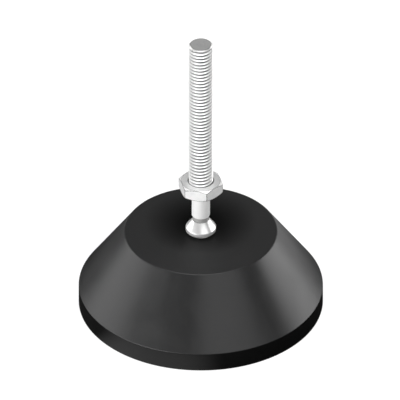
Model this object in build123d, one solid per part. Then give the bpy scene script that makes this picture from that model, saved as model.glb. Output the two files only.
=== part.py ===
from build123d import *
import math
import os

# Foot plate, moulded in glass-filled nylon
plate_diameter = 80.0
plate_top_diameter = 50.0
plate_height = 28.0
plate_rim_height = 6.5
plate_edge_chamfer = 0.2
plate_wall = 3.2
plate_top_thickness = 3.6
rib_count = 6
rib_thickness = 2.4
mould_draft = 1.0
pocket_corner_radius = 1.0
underside_recess = 0.6

# Ball, and the socket that closes over it in the plate's hub
ball_diameter = 10.0
ball_flat_diameter = 3.0
socket_clearance = 0.1
socket_lip_bite = 0.7
socket_lip_height = 0.4
socket_floor = 4.0
hub_wall = 3.9
core_diameter = 7.6

# Ball stud, turned in steel, from the collar above the plate to the end of the M8 thread
collar_gap = 0.6
collar_diameter = 10.0
collar_height = 1.3
head_cone_height = 2.9
head_cone_step = 0.2
groove_height = 1.8
groove_depth = 0.5
shank_length = 9.35
shank_undercut = 1.0
shank_end_chamfer = 0.4
thread_diameter = 8.0
thread_pitch = 1.25
thread_length = 58.55
thread_run_out = 4.1
thread_end_chamfer = 0.55

# Thin hexagon lock nut, resting just above the thread's lower end
nut_rest_lift = 0.25
nut_across_flats = 13.0
nut_thickness = 4.0
nut_face_margin = 0.1
nut_chamfer_angle = 30.0
nut_thread_clearance = 0.05
nut_countersink_width = 0.25
nut_countersink_angle = 60.0

# The cone of the skirt leans in by this angle from the vertical
skirt_lean = math.atan2((plate_diameter - plate_top_diameter) / 2, plate_height - plate_rim_height)

# The ball's centre lies where the socket's sphere closes to the width of its mouth under the lip
ball_radius = ball_diameter / 2
socket_radius = ball_radius + socket_clearance
mouth_radius = ball_radius - socket_lip_bite
ball_z = plate_height - socket_lip_height - math.sqrt(socket_radius**2 - mouth_radius**2)

# Heights up the stud
collar_bottom_z = plate_height + collar_gap
collar_top_z = collar_bottom_z + collar_height
groove_bottom_z = collar_top_z + head_cone_height
shank_bottom_z = groove_bottom_z + groove_height
thread_bottom_z = shank_bottom_z + shank_length
stud_top_z = thread_bottom_z + thread_length

# A thread is rolled on a blank of its pitch diameter, this many pitches under the crests
pitch_diameter_factor = 0.6495
blank_radius = (thread_diameter - pitch_diameter_factor * thread_pitch) / 2

on_base = (Align.CENTER, Align.CENTER, Align.MIN)


def turned(outline):
    """Solid of revolution about Z from a closed outline of radius and height."""
    return revolve(Plane.XZ * make_face(outline), Axis.Z)


def drafted(radius, height):
    """Radius of a drafted wall after it has risen by a height and grown by the mould's draft."""
    return radius + height * math.tan(math.radians(mould_draft))


def plate_shell():
    """The plate's outside: a low upright rim, a straight cone and a flat top, its two ends chamfered."""
    outer = plate_diameter / 2
    outline = Polyline(
        (0, 0),
        (outer, 0),
        (outer, plate_rim_height),
        (plate_top_diameter / 2, plate_height),
        (0, plate_height),
        close=True,
    )
    body = turned(outline)
    ends = body.faces().filter_by(Axis.Z)
    return chamfer(ends.edges(), plate_edge_chamfer)


def pocket():
    """One moulded pocket between two ribs, drafted so that it leaves the mould downwards."""
    inner_wall = plate_diameter / 2 - plate_wall
    roof_z = plate_height - plate_top_thickness
    slant_wall = plate_wall / math.cos(skirt_lean)
    knee_z = plate_rim_height - (slant_wall - plate_wall) / math.tan(skirt_lean)
    roof_radius = plate_diameter / 2 - slant_wall - (roof_z - plate_rim_height) * math.tan(skirt_lean)
    hub_radius = socket_radius + hub_wall
    outline = Polyline(
        (hub_radius, 0),
        (inner_wall, 0),
        (inner_wall, knee_z),
        (roof_radius, roof_z),
        (drafted(hub_radius, roof_z), roof_z),
        close=True,
    )
    ring = turned(outline)

    # The wedge between two neighbouring ribs, its sides parallel to the ribs' middle planes
    half_angle = math.pi / rib_count
    apex = rib_thickness / 2 / math.sin(half_angle)
    reach = plate_diameter
    side = reach * math.tan(half_angle)
    wedge = Polyline((apex, 0), (apex + reach, -side), (apex + reach, side), close=True)
    between_ribs = extrude(make_face(wedge), amount=roof_z, taper=mould_draft)
    cut = ring & between_ribs

    # Rounded roots along the ribs' tops and all round the hub; the skirt is met in a sharp corner
    roof_edges = cut.faces().sort_by(Axis.Z)[-1].edges().sort_by(Axis.X)[:-1]
    hub_corners = cut.faces().sort_by(Axis.X)[0].edges().sort_by(Axis.Z)[1:-1]
    return fillet(roof_edges + hub_corners, pocket_corner_radius)


def socket():
    """The ball's seat, closed over the ball by a lip, and the core hole below it in the hub."""
    seat = Pos(0, 0, ball_z) * Sphere(socket_radius)
    mouth_height = plate_height - ball_z
    mouth = Pos(0, 0, ball_z) * Cylinder(mouth_radius, mouth_height, align=on_base)
    core_height = ball_z - socket_radius - socket_floor
    core_radius = core_diameter / 2
    core = Cone(drafted(core_radius, core_height), core_radius, core_height, align=on_base)
    return seat + mouth + core


def foot_plate():
    """Hollow moulded plate: skirt, top, hub with the ball socket, and radial ribs between them."""
    body = plate_shell()
    body -= Cylinder(plate_diameter / 2 - plate_wall, underside_recess, align=on_base)
    one_pocket = pocket()
    for index in range(rib_count):
        body -= Rot(0, 0, (index + 0.5) * 360 / rib_count) * one_pocket
    return body - socket()


def ball_stud():
    """Turned stud from the ball up: ball, collar, cone, groove, shank, thread run-out and thread."""
    flat_radius = ball_flat_diameter / 2
    flat_z = ball_z - math.sqrt(ball_radius**2 - flat_radius**2)
    ball_top_radius = math.sqrt(ball_radius**2 - (collar_bottom_z - ball_z) ** 2)
    ball_arc = ThreePointArc(
        (flat_radius, flat_z),
        (ball_radius, ball_z),
        (ball_top_radius, collar_bottom_z),
    )

    # In the run-out the crests of the rolled thread fall to the blank, which steps down to the shank
    collar_radius = collar_diameter / 2
    thread_radius = thread_diameter / 2
    shank_radius = thread_radius - shank_undercut
    groove_radius = shank_radius - groove_depth
    blank_step = blank_radius - shank_radius
    above_ball = Polyline(
        (ball_top_radius, collar_bottom_z),
        (collar_radius, collar_bottom_z),
        (collar_radius, collar_top_z),
        (groove_radius + head_cone_step, groove_bottom_z),
        (groove_radius, groove_bottom_z),
        (groove_radius, shank_bottom_z - shank_end_chamfer),
        (shank_radius, shank_bottom_z),
        (shank_radius, thread_bottom_z - blank_step),
        (blank_radius, thread_bottom_z),
        (thread_radius, thread_bottom_z + thread_run_out),
        (thread_radius, stud_top_z - thread_end_chamfer),
        (thread_radius - thread_end_chamfer, stud_top_z),
        (0, stud_top_z),
        (0, flat_z),
        (flat_radius, flat_z),
    )
    return turned(ball_arc + above_ball)


def lock_nut():
    """Thin hexagon nut, both ends chamfered, with a countersink at each end of its bore."""
    corner_radius = nut_across_flats / 2 / math.cos(math.pi / 6)
    face_radius = nut_across_flats / 2 - nut_face_margin
    corner_drop = (corner_radius - face_radius) * math.tan(math.radians(nut_chamfer_angle))
    hexagon = RegularPolygon(corner_radius, 6, rotation=30)
    prism = extrude(hexagon, amount=nut_thickness)
    envelope = turned(
        Polyline(
            (0, 0),
            (face_radius, 0),
            (corner_radius, corner_drop),
            (corner_radius, nut_thickness - corner_drop),
            (face_radius, nut_thickness),
            (0, nut_thickness),
            close=True,
        )
    )
    bore_radius = thread_diameter / 2 + nut_thread_clearance
    sink_radius = bore_radius + nut_countersink_width
    sink_depth = nut_countersink_width / math.tan(math.radians(nut_countersink_angle))
    bore = turned(
        Polyline(
            (0, 0),
            (sink_radius, 0),
            (bore_radius, sink_depth),
            (bore_radius, nut_thickness - sink_depth),
            (sink_radius, nut_thickness),
            (0, nut_thickness),
            close=True,
        )
    )
    return Pos(0, 0, thread_bottom_z + nut_rest_lift) * ((prism & envelope) - bore)


parts = {
    "foot_plate": foot_plate(),
    "ball_stud": ball_stud(),
    "lock_nut": lock_nut(),
}

os.makedirs("parts", exist_ok=True)
for name, shape in parts.items():
    export_step(shape, f"parts/{name}.step")
    print(name, round(shape.volume, 1), shape.is_valid)
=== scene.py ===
# swivel levelling foot: black moulded foot plate, plated ball stud with a rolled M8 thread,
# thin lock nut
import math
import bmesh
import bpy
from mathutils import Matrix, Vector


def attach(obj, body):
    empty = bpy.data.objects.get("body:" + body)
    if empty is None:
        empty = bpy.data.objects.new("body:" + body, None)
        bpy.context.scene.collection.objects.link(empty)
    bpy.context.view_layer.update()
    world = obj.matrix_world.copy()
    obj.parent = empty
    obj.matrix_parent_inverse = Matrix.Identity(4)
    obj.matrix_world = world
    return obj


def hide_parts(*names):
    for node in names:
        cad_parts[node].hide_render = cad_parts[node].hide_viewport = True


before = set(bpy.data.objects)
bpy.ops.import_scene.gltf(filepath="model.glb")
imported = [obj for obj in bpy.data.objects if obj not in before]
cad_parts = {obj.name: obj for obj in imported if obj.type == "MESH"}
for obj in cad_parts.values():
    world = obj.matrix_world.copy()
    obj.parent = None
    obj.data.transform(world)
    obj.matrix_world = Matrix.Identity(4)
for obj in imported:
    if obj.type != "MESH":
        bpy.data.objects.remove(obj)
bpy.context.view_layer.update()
print("frame loaded:", ", ".join(sorted(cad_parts)))

mm = 0.001  # lengths below are in millimetres

cameraSetup = {
    "azimuth": 45.0,  # degrees round the stud, 0 looks along +Y
    "elevation": 35.0,
    "lookAt": (-0.19, -0.19, 40.3),
    "frameWidth": 131.0,  # what the picture spans
    "distance": 800.0,
}

# here and for the lamps a turn is in degrees round the foot from the camera
floorSetup = {
    "size": 6000.0,
    "gap": 0.02,  # below the rim, so that the two never flicker
    "paint": 0.65,
    "glow": 0.86,  # what the camera and the metal see of a white floor
    "shadowShare": 0.22,
    "contactRadius": (42.0, 150.0),  # round the foot, where gloss sees a painted shadow on the floor
    "contactShare": (0.04, 0.92),  # of the glow, near and far
    # each painted dark side keeps one side of the floor dark, a painted shadow: the turn to its
    # middle, the cosines of the angles from there where the dark begins and is full, and the
    # share that is left
    "paintedDarkSides": [(-135.0, (0.3, 0.95), 0.25), (72.0, (0.50, 0.95), 0.30)],
    "poolTurn": -25.0,  # painted light: the side where a pool of light is painted on the floor close to the rim
    "poolLimits": (0.78, 0.99),
    "poolRadius": (47.0, 60.0),
    "poolShare": 0.9,
    "footRadius": 39.5,  # inside it only the foot's underside sees the floor
}

worldSetup = {
    # how bright the studio is from the horizon, 0, up to straight above, 1
    "fade": [(0.0, 0.70), (0.10, 0.35), (0.35, 0.14), (0.60, 0.10), (1.0, 0.30)],
}

lampTarget = (0.0, 0.0, 40.0)

# elevation is in degrees above the horizon, and a face of level 1 is white
lamps = {
    "overheadSoftbox": {
        "turn": 0, "elevation": 80, "distance": 900,
        "width": 900, "height": 700, "level": 3.0,
    },
    "frontSoftbox": {
        "turn": 29, "elevation": 34, "distance": 1100,
        "width": 1050, "height": 360, "level": 2.45,
    },
    "leftSoftbox": {
        "turn": -102, "elevation": 14, "distance": 900,
        "width": 940, "height": 380, "level": 3.3,
    },
    "leftFill": {
        "turn": -56, "elevation": 28, "distance": 900,
        "width": 320, "height": 240, "level": 0.25,
    },
    "rightSoftbox": {
        "turn": 112, "elevation": 11, "distance": 900,
        "width": 800, "height": 380, "level": 5.0,
    },
    "lowKey": {
        "turn": -45, "elevation": 5, "distance": 900,
        "width": 880, "height": 160, "level": 16.8,
    },
    "backCard": {
        "turn": 180, "elevation": 8, "distance": 1200,
        "width": 1900, "height": 340, "level": 0.3,
    },
}


def directionFrom(azimuth, elevation):
    # points back to someone who looks from there
    around, up = math.radians(azimuth), math.radians(elevation)
    level = math.cos(up)
    return Vector((math.sin(around) * level, -math.cos(around) * level, math.sin(up)))


def placeAimed(holder, azimuth, elevation, distance, target):
    # a camera or a lamp, set back from its target and looking at it
    back = directionFrom(azimuth, elevation)
    holder.location = Vector(target) * mm + back * distance * mm
    holder.rotation_mode = "QUATERNION"
    holder.rotation_quaternion = (-back).to_track_quat("-Z", "Y")
    bpy.context.scene.collection.objects.link(holder)


def addCamera(setup):
    lens = bpy.data.cameras.new("photoCamera")
    lens.type = "ORTHO"
    lens.ortho_scale = setup["frameWidth"] * mm
    camera = bpy.data.objects.new("photoCamera", lens)
    placeAimed(
        camera, setup["azimuth"], setup["elevation"], setup["distance"], setup["lookAt"]
    )
    bpy.context.scene.camera = camera


def addLamp(name, lamp):
    light = bpy.data.lights.new(name, "AREA")
    light.shape = "RECTANGLE"
    light.size = lamp["width"] * mm
    light.size_y = lamp["height"] * mm
    light.energy = lamp["level"] * math.pi * light.size * light.size_y  # watts for that level
    softbox = bpy.data.objects.new(name, light)
    softbox.visible_camera = False
    azimuth = cameraSetup["azimuth"] + lamp["turn"]
    placeAimed(softbox, azimuth, lamp["elevation"], lamp["distance"], lampTarget)


def newTree(owner):
    owner.use_nodes = True
    owner.node_tree.nodes.clear()
    return owner.node_tree


def put(tree, kind, place, inputs=None, **settings):
    # one node at its place in the editor, with its settings and the values of its sockets
    node = tree.nodes.new(kind)
    node.location = place
    for name, value in settings.items():
        setattr(node, name, value)
    for name, value in (inputs or {}).items():
        node.inputs[name].default_value = value
    return node


def ramp(tree, place, source, stops):
    # grey steps from pairs of position and brightness
    node = put(tree, "ShaderNodeValToRGB", place)
    elements = node.color_ramp.elements
    while len(elements) < len(stops):
        elements.new(0.5)
    for element, (position, value) in zip(elements, stops):
        element.position = position
        element.color = (value, value, value, 1)
    tree.links.new(source, node.inputs["Fac"])
    return node.outputs["Color"]


def mixColors(tree, place, factor, first, second):
    # first and second are either a plain colour or another node's output
    node = put(tree, "ShaderNodeMix", place, data_type="RGBA")
    tree.links.new(factor, node.inputs["Factor"])
    for side, color in (("A", first), ("B", second)):
        if isinstance(color, tuple):
            node.inputs[side].default_value = (*color, 1)
        else:
            tree.links.new(color, node.inputs[side])
    return node.outputs["Result"]


def scaled(tree, place, source, low, high, fromLow=0.0, fromHigh=1.0, fade="LINEAR"):
    ends = {"From Min": fromLow, "From Max": fromHigh, "To Min": low, "To Max": high}
    node = put(tree, "ShaderNodeMapRange", place, ends, interpolation_type=fade)
    tree.links.new(source, node.inputs["Value"])
    return node.outputs["Result"]


def combined(tree, place, operation, first, second):
    # first and second are either a number or another node's output
    node = put(tree, "ShaderNodeMath", place, operation=operation)
    for side, value in enumerate((first, second)):
        if isinstance(value, (int, float)):
            node.inputs[side].default_value = value
        else:
            tree.links.new(value, node.inputs[side])
    return node.outputs["Value"]


def noise(tree, place, source, perMetre, detail=4, roughness=0.6, distortion=0.0):
    ends = {
        "Scale": perMetre, "Detail": detail, "Roughness": roughness, "Distortion": distortion
    }
    node = put(tree, "ShaderNodeTexNoise", place, ends)
    tree.links.new(source, node.inputs["Vector"])
    return node.outputs["Fac"]


def sideOfFloor(tree, place, position, turn, limits):
    # 1 on the side of the floor at this turn, fading to 0 round from it
    x, y = place
    outwards = put(tree, "ShaderNodeVectorMath", (x, y), operation="NORMALIZE")
    tree.links.new(position, outwards.inputs[0])
    along = put(tree, "ShaderNodeVectorMath", (x + 180, y), operation="DOT_PRODUCT")
    along.inputs[1].default_value = directionFrom(cameraSetup["azimuth"] + turn, 0)
    tree.links.new(outwards.outputs["Vector"], along.inputs[0])
    cosine = along.outputs["Value"]
    return scaled(tree, (x + 360, y), cosine, 0.0, 1.0, *limits, fade="SMOOTHSTEP")


def floorShare(tree, setup, cameraRay):
    # how much of the white floor is left: painted shadow near the foot and on the painted dark
    # sides
    position = put(tree, "ShaderNodeTexCoord", (-2300, -200)).outputs["Object"]
    length = put(tree, "ShaderNodeVectorMath", (-2100, -200), operation="LENGTH")
    tree.links.new(position, length.inputs[0])
    away = length.outputs["Value"]
    near, far = (limit * mm for limit in setup["contactRadius"])
    share = scaled(
        tree, (-1400, -200), away, *setup["contactShare"], near, far, fade="SMOOTHSTEP"
    )
    for number, (turn, limits, left) in enumerate(setup["paintedDarkSides"]):
        y = -400 + 500 * number
        darkSide = sideOfFloor(tree, (-2100, y), position, turn, limits)
        kept = scaled(tree, (-1400, y), darkSide, 1.0, left)
        share = combined(tree, (-1200, y), "MULTIPLY", share, kept)
    # more in the painted pool of light
    side = sideOfFloor(tree, (-2100, -650), position, setup["poolTurn"], setup["poolLimits"])
    near, far = (limit * mm for limit in setup["poolRadius"])
    bright = scaled(
        tree, (-1400, -850), away, setup["poolShare"], 0.0, near, far, fade="SMOOTHSTEP"
    )
    pool = combined(tree, (-1200, -700), "MULTIPLY", side, bright)
    share = combined(tree, (-1000, -400), "MAXIMUM", share, pool)
    # the camera sees all of it, and so does the foot's underside
    underFoot = combined(tree, (-1000, -600), "LESS_THAN", away, setup["footRadius"] * mm)
    whole = combined(tree, (-800, -600), "MAXIMUM", underFoot, cameraRay)
    return combined(tree, (-640, -400), "MAXIMUM", share, whole)


def floorMaterial(setup):
    material = bpy.data.materials.new("paleFloor")
    tree = newTree(material)
    link = tree.links.new
    path = put(tree, "ShaderNodeLightPath", (-700, 300)).outputs
    shown = combined(tree, (-450, 400), "MAXIMUM", path["Is Camera Ray"], path["Is Glossy Ray"])
    shown = combined(tree, (-250, 300), "MAXIMUM", shown, path["Is Transmission Ray"])
    paint = put(tree, "ShaderNodeBsdfDiffuse", (-250, 100))
    paint.inputs["Color"].default_value = (setup["paint"],) * 3 + (1,)
    share = floorShare(tree, setup, path["Is Camera Ray"])
    glow = put(tree, "ShaderNodeEmission", (-250, -300))
    shine = combined(tree, (-450, -300), "MULTIPLY", share, setup["glow"])
    link(shine, glow.inputs["Strength"])
    shadowCatch = put(tree, "ShaderNodeBsdfDiffuse", (-250, -100))
    caught = combined(tree, (-450, -100), "MULTIPLY", share, setup["shadowShare"])
    link(caught, shadowCatch.inputs["Color"])
    whiteFloor = put(tree, "ShaderNodeAddShader", (-50, -200))
    link(shadowCatch.outputs["BSDF"], whiteFloor.inputs[0])
    link(glow.outputs["Emission"], whiteFloor.inputs[1])
    upper = put(tree, "ShaderNodeMixShader", (130, 0))
    link(shown, upper.inputs["Fac"])
    link(paint.outputs["BSDF"], upper.inputs[1])
    link(whiteFloor.outputs["Shader"], upper.inputs[2])
    # seen from underneath the floor isn't there, so that the underside can be looked at
    facing = put(tree, "ShaderNodeNewGeometry", (130, 250))
    clear = put(tree, "ShaderNodeBsdfTransparent", (130, -180))
    oneSided = put(tree, "ShaderNodeMixShader", (330, 60))
    link(facing.outputs["Backfacing"], oneSided.inputs["Fac"])
    link(upper.outputs["Shader"], oneSided.inputs[1])
    link(clear.outputs["BSDF"], oneSided.inputs[2])
    output = put(tree, "ShaderNodeOutputMaterial", (530, 0))
    link(oneSided.outputs["Shader"], output.inputs["Surface"])
    return material


def addFloor(setup):
    half = setup["size"] * mm / 2
    level = -setup["gap"] * mm
    mesh = bpy.data.meshes.new("floor")
    around = ((-half, -half), (half, -half), (half, half), (-half, half))
    mesh.from_pydata([(x, y, level) for x, y in around], [], [(0, 1, 2, 3)])
    mesh.materials.append(floorMaterial(setup))
    floor = bpy.data.objects.new("floor", mesh)
    bpy.context.scene.collection.objects.link(floor)


def addWorld(setup):
    world = bpy.data.worlds.new("studio")
    bpy.context.scene.world = world
    tree = newTree(world)
    link = tree.links.new
    path = put(tree, "ShaderNodeLightPath", (-600, 300)).outputs
    seen = combined(
        tree, (-350, 300), "MAXIMUM", path["Is Camera Ray"], path["Is Transmission Ray"]
    )
    direction = put(tree, "ShaderNodeTexCoord", (-900, 0)).outputs["Generated"]
    split = put(tree, "ShaderNodeSeparateXYZ", (-700, 0))
    link(direction, split.inputs["Vector"])
    fade = ramp(tree, (-500, 0), split.outputs["Z"], setup["fade"])
    studio = put(tree, "ShaderNodeBackground", (-150, 0))
    link(fade, studio.inputs["Color"])
    white = put(tree, "ShaderNodeBackground", (-150, -150), {"Color": (1, 1, 1, 1)})
    mix = put(tree, "ShaderNodeMixShader", (100, 100))
    link(seen, mix.inputs["Fac"])
    link(studio.outputs["Background"], mix.inputs[1])
    link(white.outputs["Background"], mix.inputs[2])
    output = put(tree, "ShaderNodeOutputWorld", (300, 100))
    link(mix.outputs["Shader"], output.inputs["Surface"])


bpy.context.scene.view_settings.view_transform = "Standard"
addCamera(cameraSetup)
addFloor(floorSetup)
addWorld(worldSetup)
for lampName, lampSetup in lamps.items():
    addLamp(lampName, lampSetup)
print("camera, floor and", len(lamps), "softboxes in place")

nylonFinish = {
    "color": (0.012, 0.012, 0.0123),
    "paleColor": (0.018, 0.018, 0.0183),  # where the glass fibres lie near the skin
    "flowPerMetre": 60.0,  # slow marks of the flow into the mould
    "flowTwist": 0.6,
    "flowLimits": (0.35, 0.75),
    "grainPerMm": 5.0,  # fine eroded grain of the mould
    "grainDepth": 0.012,
    "roughness": (0.28, 0.38),
    "flowShare": 0.65,  # of what varies the roughness
    "grainShare": 0.35,
    "levelLimits": (0.90, 0.99),  # how level a face begins and ends to count as such
    "topShadeColor": (0.012, 0.012, 0.0122),  # painted shade: level faces a little darker, without the pale flow marks; the mould leaves them duller
    "topRoughness": 0.22,  # more on them
    "paintedShadeColor": (0.002, 0.002, 0.002),  # painted shade beside the ball, spread over the top round it
    # the painted shade's middle lies behind the ball, where a cast shadow would fall
    "paintedShadeCentre": (-3.6, 3.6, 0.0),
    "paintedShadeRadius": (4.5, 18.5),  # all grease, none left
    "paintedShadeRoughness": 0.40,
    "paintedShadeHeight": 27.5,  # only above this height
    # painted shade: the upright rim darker than the rest of the plate
    "rimShadeColor": (0.002, 0.002, 0.002),
    "rimHeight": 6.5,
    "rimRadius": 39.6,
    "specular": 0.30,
    "edgeRound": 0.35,
    "edgeSamples": 6,
}

# what lathe and plating leave on every part of the stud
turnedFinish = {
    "wornColor": (0.14, 0.14, 0.138),  # plating rubbed through along the edges
    "wornWidth": 0.40,
    "cloudPerMetre": 260.0,  # uneven plating
    "cloudLimits": (0.42, 0.78),
    "ringsPerMm": 4.0,
    "ringLimits": (0.38, 0.62),
    "ringShare": 0.10,
    "ringDepth": 0.008,
}

threadFinish = {
    **turnedFinish,
    "color": (0.91, 0.91, 0.905),
    "dullColor": (0.82, 0.825, 0.83),
    "metallic": 0.60,
    "roughness": (0.27, 0.42),
    "rootShadeColor": (0.10, 0.10, 0.10),  # painted shade deep in the thread, with the dust and oil that stay there
    "rootShadeRadius": (3.70, 3.34),  # clean, dark
    "threadHeights": (43.9, 101.4),
}

# the head over the ball, a darker copy of the plated steel: painted shade that keeps the lamps
# from burning it white
headFinish = {
    **turnedFinish,
    "color": (0.74, 0.74, 0.735),
    "dullColor": (0.64, 0.64, 0.645),
    "metallic": 0.60,
    "roughness": (0.24, 0.38),
}

# the shank, a paler, less metallic and duller copy of the plated steel: painted light where it
# would mirror the dark plate
shankFinish = {
    **turnedFinish,
    "color": (0.93, 0.93, 0.925),
    "dullColor": (0.84, 0.845, 0.85),
    "metallic": 0.32,
    "roughness": (0.34, 0.50),
    "grooveShadeColor": (0.36, 0.36, 0.355),  # painted shade in the groove under the shank
    "grooveHeights": (32.8, 34.6),
    "grooveWall": 2.75,  # its wall lies inside this radius
}

# the sawn and faced end
endFinish = {
    **turnedFinish,
    "color": (0.73, 0.73, 0.72),
    "dullColor": (0.61, 0.61, 0.61),
    "wornColor": (0.08, 0.08, 0.08),
    "metallic": 0.72,
    "roughness": (0.28, 0.45),
    "ringsPerMm": 2.6,
    "ringShare": 0.55,
    "ringDepth": 0.02,
}

nutFinish = {
    "color": (0.93, 0.93, 0.925),
    "dullColor": (0.84, 0.84, 0.845),
    "cloudPerMetre": 420.0,
    "cloudLimits": (0.40, 0.72),
    "boreShadeColor": (0.12, 0.12, 0.12),  # painted shade in the countersink and the thread, with oil
    "boreRadius": (4.40, 4.18),  # clean, dark
    "wornColor": (0.12, 0.12, 0.118),
    "wornWidth": 0.42,
    "metallic": 0.56,
    "roughness": (0.32, 0.48),
    "scratchPerMetre": 3500.0,
    "scratchTwist": 1.2,
    "scratchDepth": 0.004,
}


def fromAxis(tree, place, source):
    # distance from the upright axis, and height
    x, y = place
    flat = put(tree, "ShaderNodeVectorMath", (x, y), operation="MULTIPLY")
    flat.inputs[1].default_value = (1, 1, 0)
    tree.links.new(source, flat.inputs[0])
    radius = put(tree, "ShaderNodeVectorMath", (x + 180, y), operation="LENGTH")
    tree.links.new(flat.outputs["Vector"], radius.inputs[0])
    split = put(tree, "ShaderNodeSeparateXYZ", (x, y - 180))
    tree.links.new(source, split.inputs["Vector"])
    return radius.outputs["Value"], split.outputs["Z"]


def between(tree, place, height, low, high):
    # 1 from one height to another, 0 outside
    x, y = place
    above = combined(tree, (x, y), "GREATER_THAN", height, low * mm)
    below = combined(tree, (x, y - 160), "LESS_THAN", height, high * mm)
    return combined(tree, (x + 180, y), "MULTIPLY", above, below)


def wornEdges(tree, place, width, samples=8, edge=0.96, flat=0.999):
    # 1 on an edge, fading to 0 over the width on both sides of it; edge and flat are how
    # alike the rounded and the true normal are there
    x, y = place
    rounded = put(tree, "ShaderNodeBevel", (x, y), {"Radius": width * mm}, samples=samples)
    surface = put(tree, "ShaderNodeNewGeometry", (x, y - 160))
    alike = put(tree, "ShaderNodeVectorMath", (x + 180, y), operation="DOT_PRODUCT")
    tree.links.new(rounded.outputs["Normal"], alike.inputs[0])
    tree.links.new(surface.outputs["Normal"], alike.inputs[1])
    return scaled(tree, (x + 360, y), alike.outputs["Value"], 1.0, 0.0, edge, flat)


def finishShader(
    tree, color, rough, relief, depth, settings, normal=None, metallic=None, strength=0.5
):
    # the last nodes of every finish: relief, shader and output
    link = tree.links.new
    reach = {"Strength": strength, "Distance": depth * mm}
    bump = put(tree, "ShaderNodeBump", (-400, -200), reach)
    link(relief, bump.inputs["Height"])
    if normal:
        link(normal, bump.inputs["Normal"])
    shader = put(tree, "ShaderNodeBsdfPrincipled", (-100, 100), settings)
    link(color, shader.inputs["Base Color"])
    link(rough, shader.inputs["Roughness"])
    if metallic:
        link(metallic, shader.inputs["Metallic"])
    link(bump.outputs["Normal"], shader.inputs["Normal"])
    output = put(tree, "ShaderNodeOutputMaterial", (250, 100))
    link(shader.outputs["BSDF"], output.inputs["Surface"])


def paintedShadeHalo(tree, source, height, finish):
    # painted shade: 1 beside the ball, thinning outwards, on the plate's top alone
    aside = put(tree, "ShaderNodeVectorMath", (-1700, 550), operation="SUBTRACT")
    aside.inputs[1].default_value = [side * mm for side in finish["paintedShadeCentre"]]
    tree.links.new(source, aside.inputs[0])
    away = fromAxis(tree, (-1500, 550), aside.outputs["Vector"])[0]
    near, far = (limit * mm for limit in finish["paintedShadeRadius"])
    spread = scaled(tree, (-1000, 550), away, 1.0, 0.0, near, far)
    onTop = combined(tree, (-1000, 750), "GREATER_THAN", height, finish["paintedShadeHeight"] * mm)
    return combined(tree, (-800, 650), "MULTIPLY", spread, onTop)


def levelFaces(tree, finish):
    # 1 where a face looks straight up
    normal = put(tree, "ShaderNodeNewGeometry", (-1200, -250)).outputs["Normal"]
    split = put(tree, "ShaderNodeSeparateXYZ", (-1000, -250))
    tree.links.new(normal, split.inputs["Vector"])
    return scaled(tree, (-800, -250), split.outputs["Z"], 0.0, 1.0, *finish["levelLimits"])


def uprightRim(tree, radius, height, finish):
    # 1 on the outside of the rim
    low = combined(tree, (-1000, -550), "LESS_THAN", height, finish["rimHeight"] * mm)
    outer = combined(tree, (-1000, -700), "GREATER_THAN", radius, finish["rimRadius"] * mm)
    return combined(tree, (-800, -600), "MULTIPLY", low, outer)


def nylonMaterial(finish):
    material = bpy.data.materials.new("mouldedNylon")
    tree = newTree(material)
    source = put(tree, "ShaderNodeTexCoord", (-1900, 0)).outputs["Object"]
    radius, height = fromAxis(tree, (-1700, -400), source)
    shadeHalo = paintedShadeHalo(tree, source, height, finish)
    level = levelFaces(tree, finish)
    onRim = uprightRim(tree, radius, height, finish)
    begin, full = finish["flowLimits"]
    flow = noise(
        tree, (-1200, 300), source, finish["flowPerMetre"], distortion=finish["flowTwist"]
    )
    flow = ramp(tree, (-1000, 300), flow, [(begin, 0.0), (full, 1.0)])
    color = mixColors(tree, (-700, 300), flow, finish["color"], finish["paleColor"])
    # painted shade on the level faces
    color = mixColors(tree, (-600, 500), level, color, finish["topShadeColor"])
    # painted shade round the ball
    color = mixColors(tree, (-450, 500), shadeHalo, color, finish["paintedShadeColor"])
    # painted shade on the upright rim
    color = mixColors(tree, (-300, 450), onRim, color, finish["rimShadeColor"])
    # flow marks and grain vary the gloss, level faces are duller, and the painted shade round
    # the ball has its own gloss
    grainPerMetre = finish["grainPerMm"] / mm
    grain = noise(tree, (-1200, 0), source, grainPerMetre, detail=3, roughness=0.55)
    marks = combined(tree, (-800, 180), "MULTIPLY", flow, finish["flowShare"])
    specks = combined(tree, (-800, 60), "MULTIPLY", grain, finish["grainShare"])
    uneven = combined(tree, (-650, 120), "ADD", marks, specks)
    rough = scaled(tree, (-500, 120), uneven, *finish["roughness"])
    dull = combined(tree, (-600, -250), "MULTIPLY", level, finish["topRoughness"])
    rough = combined(tree, (-350, 60), "ADD", rough, dull)
    haloRough = put(tree, "ShaderNodeMix", (-280, -60), {"B": finish["paintedShadeRoughness"]})
    tree.links.new(shadeHalo, haloRough.inputs["Factor"])
    tree.links.new(rough, haloRough.inputs["A"])
    # edges are rounded in the light alone; the painted shade counts as metal, so that it
    # mirrors no more than its black colour does
    bevel = {"Radius": finish["edgeRound"] * mm}
    rounded = put(tree, "ShaderNodeBevel", (-650, -350), bevel, samples=finish["edgeSamples"])
    finishShader(
        tree, color, haloRough.outputs["Result"], grain, finish["grainDepth"],
        {"Specular IOR Level": finish["specular"]},
        normal=rounded.outputs["Normal"], metallic=shadeHalo,
    )
    return material


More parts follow.
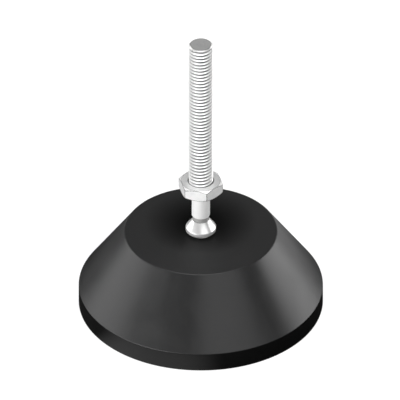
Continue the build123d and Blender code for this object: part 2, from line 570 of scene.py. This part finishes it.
def turnedSteel(name, finish):
    material = bpy.data.materials.new(name)
    tree = newTree(material)
    source = put(tree, "ShaderNodeTexCoord", (-2300, 0)).outputs["Object"]
    radius, height = fromAxis(tree, (-2100, 0), source)
    # noise over radius and height alone runs round the stud, as the lathe's rings do
    around = put(tree, "ShaderNodeCombineXYZ", (-1740, 0))
    tree.links.new(radius, around.inputs["X"])
    tree.links.new(height, around.inputs["Z"])
    ringsPerMetre = finish["ringsPerMm"] / mm
    rings = noise(tree, (-1500, 0), around.outputs["Vector"], ringsPerMetre, roughness=0.65)
    cloud = noise(tree, (-1500, 350), source, finish["cloudPerMetre"], detail=5)
    begin, full = finish["cloudLimits"]
    cloud = ramp(tree, (-1300, 350), cloud, [(begin, 0.0), (full, 1.0)])
    begin, full = finish["ringLimits"]
    ringMarks = ramp(tree, (-1300, 100), rings, [(begin, 0.0), (full, finish["ringShare"])])
    uneven = combined(tree, (-1100, 250), "MAXIMUM", cloud, ringMarks)
    color = mixColors(tree, (-950, 350), uneven, finish["color"], finish["dullColor"])
    worn = wornEdges(tree, (-1700, -500), finish["wornWidth"])
    if "rootShadeColor" in finish:
        # painted shade in the thread's roots
        inThread = between(tree, (-1500, 900), height, *finish["threadHeights"])
        clean, dark = (limit * mm for limit in finish["rootShadeRadius"])
        deep = scaled(tree, (-1300, 650), radius, 0.0, 1.0, clean, dark)
        rootShade = combined(tree, (-1100, 750), "MULTIPLY", inThread, deep)
        color = mixColors(tree, (-800, 500), rootShade, color, finish["rootShadeColor"])
        outside = combined(tree, (-1100, -600), "SUBTRACT", 1.0, inThread)
        worn = combined(tree, (-900, -500), "MULTIPLY", worn, outside)
    if "grooveShadeColor" in finish:
        # painted shade in the groove under the shank
        inGroove = between(tree, (-1500, 1200), height, *finish["grooveHeights"])
        onWall = combined(tree, (-1300, 1200), "LESS_THAN", radius, finish["grooveWall"] * mm)
        shadedHollow = combined(tree, (-1100, 1200), "MULTIPLY", inGroove, onWall)
        color = mixColors(tree, (-650, 600), shadedHollow, color, finish["grooveShadeColor"])
    color = mixColors(tree, (-450, 400), worn, color, finish["wornColor"])
    rough = scaled(tree, (-400, 60), rings, *finish["roughness"])
    finishShader(
        tree, color, rough, rings, finish["ringDepth"], {"Metallic": finish["metallic"]}
    )
    return material


def nutMaterial(finish):
    material = bpy.data.materials.new("nutSteel")
    tree = newTree(material)
    source = put(tree, "ShaderNodeTexCoord", (-2300, 0)).outputs["Object"]
    radius = fromAxis(tree, (-2100, 0), source)[0]
    cloud = noise(tree, (-1500, 350), source, finish["cloudPerMetre"], detail=5)
    begin, full = finish["cloudLimits"]
    cloud = ramp(tree, (-1300, 350), cloud, [(begin, 0.0), (full, 1.0)])
    color = mixColors(tree, (-1000, 350), cloud, finish["color"], finish["dullColor"])
    worn = wornEdges(tree, (-1700, -500), finish["wornWidth"])
    color = mixColors(tree, (-700, 400), worn, color, finish["wornColor"])
    # painted shade in the countersink and the bore
    clean, dark = (limit * mm for limit in finish["boreRadius"])
    shadedHollow = scaled(tree, (-1000, 650), radius, 0.0, 1.0, clean, dark)
    color = mixColors(tree, (-450, 500), shadedHollow, color, finish["boreShadeColor"])
    scratches = noise(
        tree, (-900, 0), source, finish["scratchPerMetre"],
        roughness=0.7, distortion=finish["scratchTwist"],
    )
    rough = scaled(tree, (-400, 60), scratches, *finish["roughness"])
    finishShader(
        tree, color, rough, scratches, finish["scratchDepth"], {"Metallic": finish["metallic"]}
    )
    return material


nylon = nylonMaterial(nylonFinish)
platedSteel = turnedSteel("platedSteel", threadFinish)
headSteel = turnedSteel("headSteel", headFinish)
shankSteel = turnedSteel("shankSteel", shankFinish)
facedEnd = turnedSteel("facedEnd", endFinish)
nutSteel = nutMaterial(nutFinish)
print("finishes mixed")

# the M8 thread, shared by the stud and the nut
threadShape = {
    "pitch": 1.25,
    "start": -0.30,  # height of a crest's middle over +X, give or take whole turns
    "columns": 84,  # vertices round the stud
    "spareTurns": 2,  # past both ends, gathered there
    # one turn of the rolled profile: height above the crest's middle, radius
    "profile": [
        (0.070, 4.000), (0.100, 3.975), (0.290, 3.640), (0.470, 3.325), (0.540, 3.245),
        (0.625, 3.233), (0.710, 3.245), (0.780, 3.325), (0.960, 3.640), (1.150, 3.975),
        (1.180, 4.000),
    ],
}


def profileRadius(height, angle):
    # the crest climbs one pitch for each turn, right-handed
    pitch, profile = threadShape["pitch"], threadShape["profile"]
    phase = (height - threadShape["start"] - pitch * angle / math.tau) % pitch
    (firstHeight, firstRadius), (lastHeight, lastRadius) = profile[0], profile[-1]
    points = [(lastHeight - pitch, lastRadius), *profile, (firstHeight + pitch, firstRadius)]
    for (low, lowRadius), (high, highRadius) in zip(points, points[1:]):
        if phase <= high:
            share = (phase - low) / (high - low)
            return lowRadius + (highRadius - lowRadius) * share


def ringPoint(radius, angle, height):
    return (radius * math.cos(angle) * mm, radius * math.sin(angle) * mm, height * mm)


def addThread(shape, columns, radiusAt, low, high):
    # helical rows that are held back at both ends, where they gather into a level ring
    pitch, start, spare = threadShape["pitch"], threadShape["start"], threadShape["spareTurns"]
    offsets = [point[0] for point in threadShape["profile"]]
    turns = range(math.floor(low / pitch) - spare, math.ceil(high / pitch) + spare)
    rows = [start + turn * pitch + offset for turn in turns for offset in offsets]
    grid = []
    for column in range(columns):
        angle = math.tau * column / columns
        heights = [min(max(row + pitch * angle / math.tau, low), high) for row in rows]
        grid.append([shape.verts.new(ringPoint(radiusAt(z, angle), angle, z)) for z in heights])
    for column in range(columns):
        here, there = grid[column], grid[(column + 1) % columns]
        step = len(offsets) if column == columns - 1 else 0  # a turn up where the helix closes
        for row in range(len(rows) - 1 - step):
            corners = (here[row], there[row + step], there[row + 1 + step], here[row + 1])
            shape.faces.new(corners)


def addTurned(shape, columns, outline):
    # rings about the axis, from an outline of radius and height; on the axis one point does
    angles = [math.tau * column / columns for column in range(columns)]
    rings = []
    for radius, height in outline:
        around = angles if radius > 0 else angles[:1]
        rings.append([shape.verts.new(ringPoint(radius, angle, height)) for angle in around])
    for lower, upper in zip(rings, rings[1:]):
        for c in range(columns):
            d = (c + 1) % columns
            corners = [
                lower[c % len(lower)], lower[d % len(lower)],
                upper[d % len(upper)], upper[c % len(upper)],
            ]
            shape.faces.new([v for i, v in enumerate(corners) if v not in corners[:i]])


def bentPoint(start, corner, end, t):
    # at t from 0 to 1 along the curve from start to end that is drawn towards the corner
    return tuple(
        a * (1 - t) ** 2 + 2 * c * t * (1 - t) + b * t * t
        for a, c, b in zip(start, corner, end)
    )


def softCorners(first, corners, last, steps=3, most=0.45):
    # rounds the corners of an outline; each gives its radius, its height and how far it is
    # cut back, and a cut takes at most that share of a side
    points = [first, *(corner[:2] for corner in corners), last]
    rounded = [first]
    for index, (*corner, cut) in enumerate(corners, start=1):
        ends = []
        for other in (points[index - 1], points[index + 1]):
            share = min(cut / math.dist(corner, other), most)
            ends.append([c + (o - c) * share for c, o in zip(corner, other)])
        for step in range(steps + 1):
            rounded.append(bentPoint(ends[0], corner, ends[1], step / steps))
    rounded.append(last)
    return rounded


def finishPiece(shape, name, body, node, materials, sharpAngle, weld=2e-7):
    # welds points this close, in metres, turns the faces outwards and hands the piece to
    # its body
    bmesh.ops.remove_doubles(shape, verts=shape.verts, dist=weld)
    bmesh.ops.recalc_face_normals(shape, faces=shape.faces)
    mesh = bpy.data.meshes.new(name)
    shape.to_mesh(mesh)
    shape.free()
    mesh.shade_smooth()
    mesh.set_sharp_from_angle(angle=math.radians(sharpAngle))
    for material in materials:
        mesh.materials.append(material)
    piece = bpy.data.objects.new(name, mesh)
    bpy.context.scene.collection.objects.link(piece)
    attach(piece, body)
    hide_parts(node)
    return piece


studShape = {
    "ballRadius": 5.0,
    "ballHeight": 24.857738,
    "ballFlat": 1.5,
    "ballSteps": 28,
    "collarBottom": 28.6,
    "collarRadius": 5.0,
    "collarTop": 29.9,
    "coneTop": 32.8,
    "coneTopRadius": 2.7,
    "grooveRadius": 2.5,
    "grooveTop": 34.2,
    "shankBottom": 34.6,
    "shankRadius": 3.0,
    "threadBottom": 43.95,
    "blankRadius": 3.594,
    "runOut": 4.1,  # over this height the crests grow out of the blank
    "rootRunOut": 0.75,  # and over this the roots are cut to their depth
    "threadRadius": 4.0,
    "chamfer": 0.55,
    "plainEnd": 0.45,  # the thread starts this far under the chamfer
    "top": 102.5,
    "innerRing": 2.2,  # on the end face
    "edge": 0.16,
    "sharpAngle": 34,
}


def studRadius(height, angle):
    # the threaded stretch: root, crest and end chamfer, whichever lies deepest
    s = studShape
    above = height - s["threadBottom"]
    rise = min(above / s["rootRunOut"], 1.0)
    cut = s["blankRadius"] + (profileRadius(height, angle) - s["blankRadius"]) * rise
    fade = min(above / s["runOut"], 1.0)
    crest = s["blankRadius"] + (s["threadRadius"] - s["blankRadius"]) * fade
    below = s["top"] - s["chamfer"] - height
    if below < s["plainEnd"]:
        cut += (s["threadRadius"] - cut) * min(1.0, 1.0 - below / s["plainEnd"])
    end = s["threadRadius"] - s["chamfer"] + (s["top"] - height)
    return min(cut, crest, end)


def ballOutline(s):
    lowest = -math.acos(s["ballFlat"] / s["ballRadius"])
    highest = math.asin((s["collarBottom"] - s["ballHeight"]) / s["ballRadius"])
    outline = []
    for step in range(s["ballSteps"] + 1):
        tilt = lowest + (highest - lowest) * step / s["ballSteps"]
        radius, rise = s["ballRadius"] * math.cos(tilt), s["ballRadius"] * math.sin(tilt)
        outline.append((radius, s["ballHeight"] + rise))
    return outline


def addEndFace(shape, columns, s):
    # its rim follows the thread's last turn
    top = s["top"]
    angles = [math.tau * column / columns for column in range(columns)]
    rim = [shape.verts.new(ringPoint(studRadius(top, angle), angle, top)) for angle in angles]
    inner = [shape.verts.new(ringPoint(s["innerRing"], angle, top)) for angle in angles]
    middle = shape.verts.new((0, 0, top * mm))
    for c in range(columns):
        d = (c + 1) % columns
        shape.faces.new((rim[c], rim[d], inner[d], inner[c]))
        shape.faces.new((inner[c], inner[d], middle))


def makeStud(s):
    shape = bmesh.new()
    columns = threadShape["columns"]
    ball = ballOutline(s)
    edge = s["edge"]
    shankTop = s["threadBottom"] - (s["blankRadius"] - s["shankRadius"])
    corners = [
        (s["collarRadius"], s["collarBottom"], edge),
        (s["collarRadius"], s["collarTop"], edge),
        (s["coneTopRadius"], s["coneTop"], edge / 2),
        (s["grooveRadius"], s["coneTop"], edge / 2),
        (s["grooveRadius"], s["grooveTop"], edge),
        (s["shankRadius"], s["shankBottom"], edge),
        (s["shankRadius"], shankTop, edge),
    ]
    upper = softCorners(ball[-1], corners, (s["blankRadius"], s["threadBottom"]))
    addTurned(shape, columns, [(0, ball[0][1]), *ball, *upper[1:]])
    addThread(shape, columns, studRadius, s["threadBottom"], s["top"])
    addEndFace(shape, columns, s)
    finishes = [platedSteel, shankSteel, facedEnd, headSteel]
    for face in shape.faces:
        height = face.calc_center_median().z / mm
        if s["coneTop"] < height < s["threadBottom"]:
            face.material_index = finishes.index(shankSteel)
        if height > s["top"] - s["chamfer"]:
            face.material_index = finishes.index(facedEnd)
        if height < s["coneTop"]:
            face.material_index = finishes.index(headSteel)
    return finishPiece(
        shape, "threadedBallStud", "stud", "ball_stud", finishes,
        s["sharpAngle"],
    )


stud = makeStud(studShape)
print("ball stud:", len(stud.data.polygons), "faces")

nutShape = {
    "bottom": 44.2,
    "thickness": 4.0,
    "acrossFlats": 13.0,
    "faceRadius": 6.4,
    "cornerRadius": 7.5,  # the corners are a little blunt
    "chamferAngle": 30.0,
    "sinkRadius": 4.3,
    "sinkAngle": 60.0,
    "threadGap": 0.06,
    "boreRadius": 3.34,
    "columns": 96,
    "sharpAngle": 20,
}


def hexRadius(angle):
    # the flats stand square to X, and the corners are cut by a circle
    fromFlat = (angle + math.pi / 6) % (math.pi / 3) - math.pi / 6
    return min(nutShape["acrossFlats"] / 2 / math.cos(fromFlat), nutShape["cornerRadius"])


def boreRadius(height, angle):
    # the stud's thread with a gap round it, its crests cut by the bore, and the countersinks
    n = nutShape
    inside = min(height - n["bottom"], n["bottom"] + n["thickness"] - height)
    sink = n["sinkRadius"] - inside * math.tan(math.radians(n["sinkAngle"]))
    return max(profileRadius(height, angle) + n["threadGap"], n["boreRadius"], sink)


def makeNut(n):
    shape = bmesh.new()
    low, high = n["bottom"], n["bottom"] + n["thickness"]
    columns = n["columns"]
    slope = math.tan(math.radians(n["chamferAngle"]))
    rings = []
    for level in ("lowSink", "lowFace", "lowEdge", "highEdge", "highFace", "highSink"):
        ring = []
        for c in range(columns):
            angle = math.tau * c / columns
            drop = 0.0
            if level.endswith("Sink"):
                radius = n["sinkRadius"]
            elif level.endswith("Face"):
                radius = n["faceRadius"]
            else:
                radius = hexRadius(angle)
                drop = max(radius - n["faceRadius"], 0.0) * slope
            height = low + drop if level.startswith("low") else high - drop
            ring.append(shape.verts.new(ringPoint(radius, angle, height)))
        rings.append(ring)
    for lower, upper in zip(rings, rings[1:]):
        for c in range(columns):
            d = (c + 1) % columns
            shape.faces.new((lower[c], lower[d], upper[d], upper[c]))
    addThread(shape, columns, boreRadius, low, high)
    return finishPiece(
        shape, "thinLockNut", "nut", "lock_nut", [nutSteel], n["sharpAngle"]
    )


nut = makeNut(nutShape)
print("lock nut:", len(nut.data.polygons), "faces")

plateShape = {
    "sharpAngle": 23.0,  # its small roundings bend less from facet to facet, its edges more
}


def makePlate(p):
    # the solid's own mesh, welded along its seams, so that light runs on across them
    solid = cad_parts["foot_plate"].data
    shape = bmesh.new()
    corners = [shape.verts.new(point.co) for point in solid.vertices]
    for face in solid.polygons:
        shape.faces.new([corners[index] for index in face.vertices])
    return finishPiece(
        shape, "mouldedFootPlate", "foot", "foot_plate", [nylon],
        p["sharpAngle"],
    )


plate = makePlate(plateShape)
print("foot plate:", len(plate.data.polygons), "faces")
